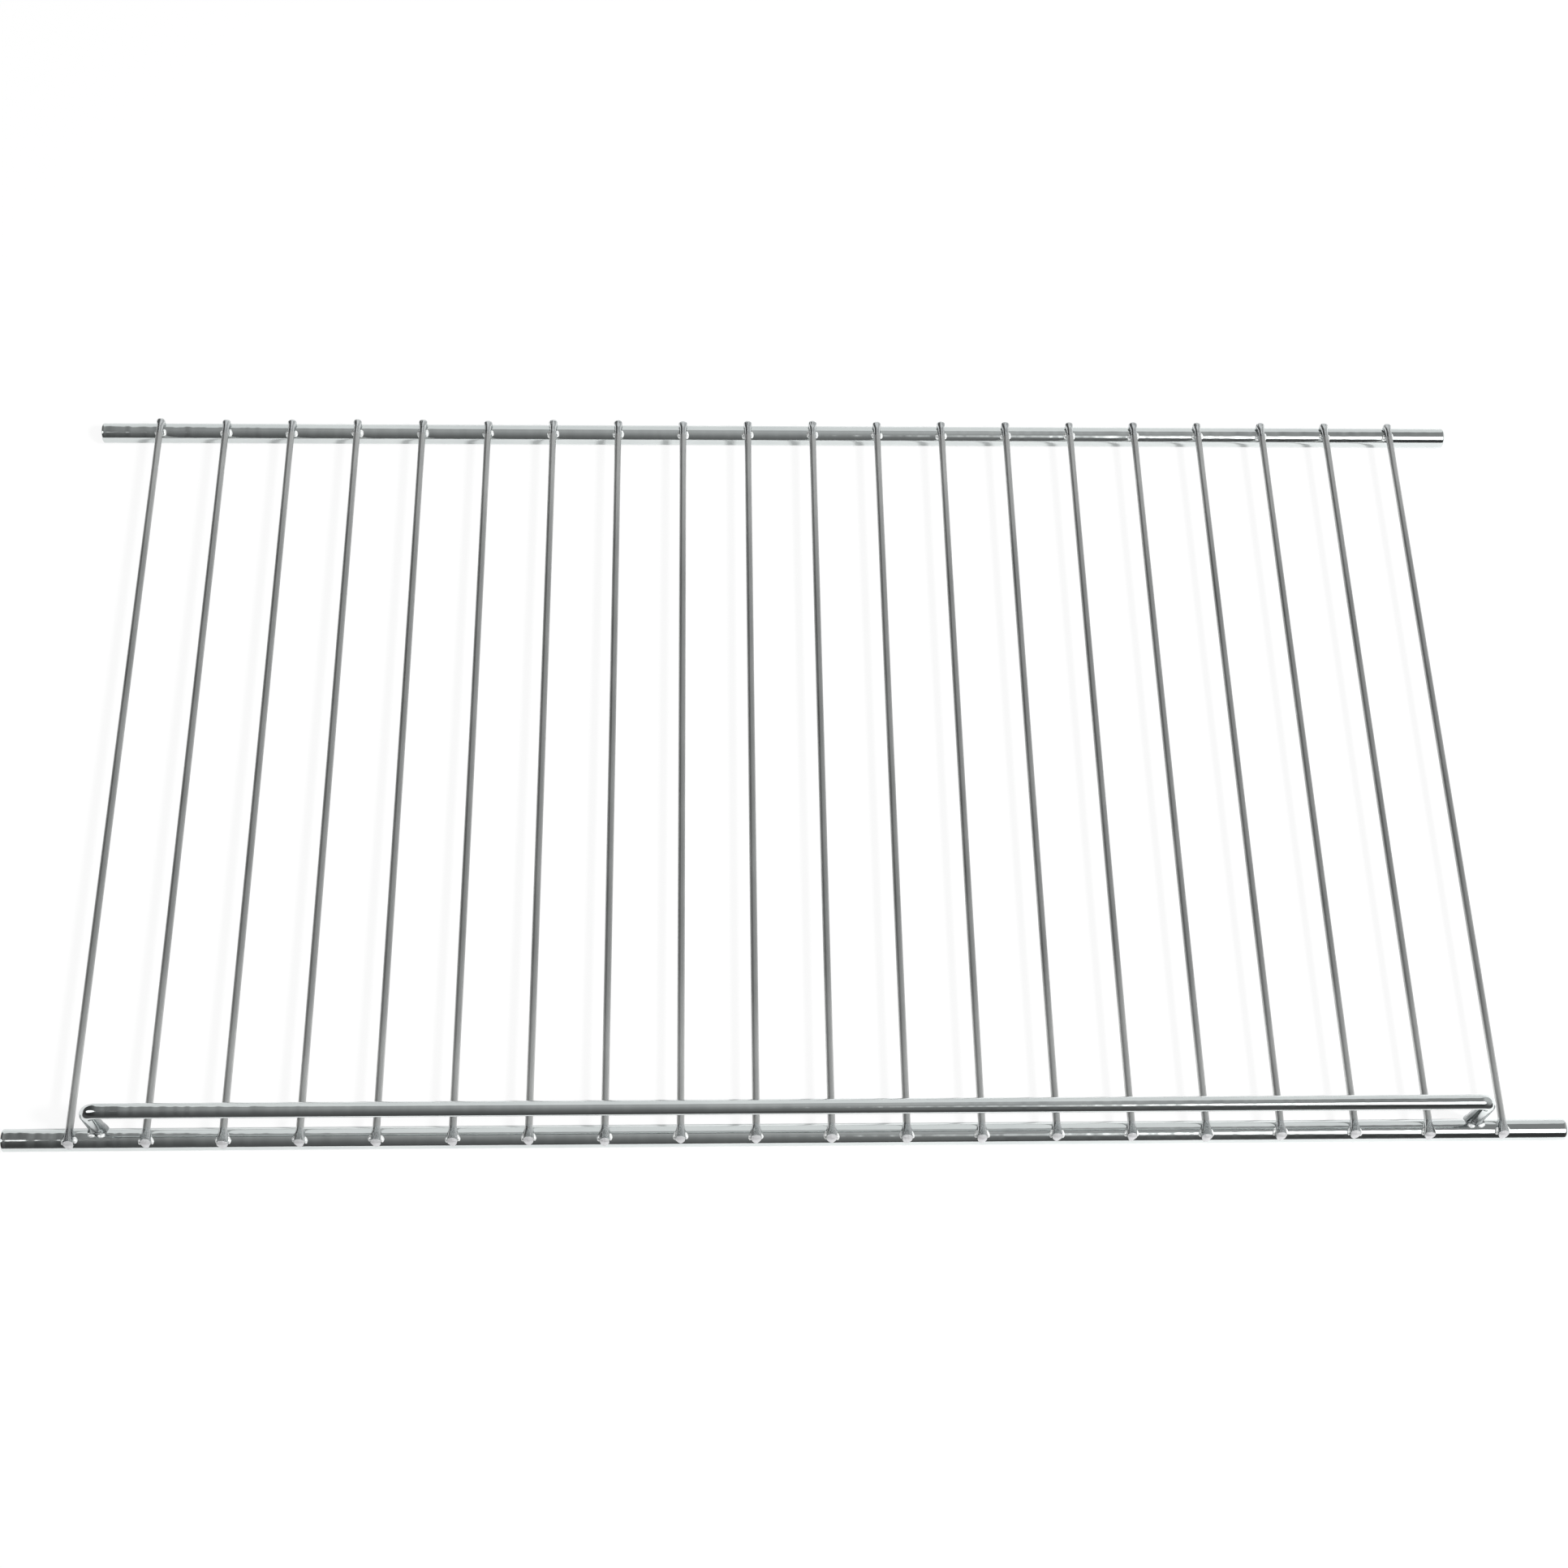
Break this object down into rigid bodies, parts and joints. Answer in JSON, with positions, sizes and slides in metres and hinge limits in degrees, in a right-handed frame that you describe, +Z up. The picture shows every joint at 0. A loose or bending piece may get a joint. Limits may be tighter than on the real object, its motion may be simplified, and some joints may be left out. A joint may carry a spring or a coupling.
{
  "type": "refrigerator wire shelf",
  "caption": "Welded wire refrigerator shelf: parallel deck wires on a front and a rear cross rod whose free ends rest on side ledges, with a raised guard rail along the front.",
  "frame": {"origin": "centre of the shelf in plan, on the floor that the two cross rods lie on", "axes": "+X to the right along the cross rods, -Y towards the front edge with the guard rail, +Z up"},
  "size_m": [0.416, 0.231, 0.0217],
  "materials": {
    "plated_steel": "bright plated steel wire, smooth and glossy, with brighter melted metal at the welds"
  },
  "bodies": {
    "root": {"front_rod": "plated_steel", "rear_rod": "plated_steel", "wire_01": "plated_steel", "wire_02": "plated_steel", "wire_03": "plated_steel", "wire_04": "plated_steel", "wire_05": "plated_steel", "wire_06": "plated_steel", "wire_07": "plated_steel", "wire_08": "plated_steel", "wire_09": "plated_steel", "wire_10": "plated_steel", "wire_11": "plated_steel", "wire_12": "plated_steel", "wire_13": "plated_steel", "wire_14": "plated_steel", "wire_15": "plated_steel", "wire_16": "plated_steel", "wire_17": "plated_steel", "wire_18": "plated_steel", "wire_19": "plated_steel", "wire_20": "plated_steel", "front_rail": "plated_steel"}
  },
  "joints": []
}
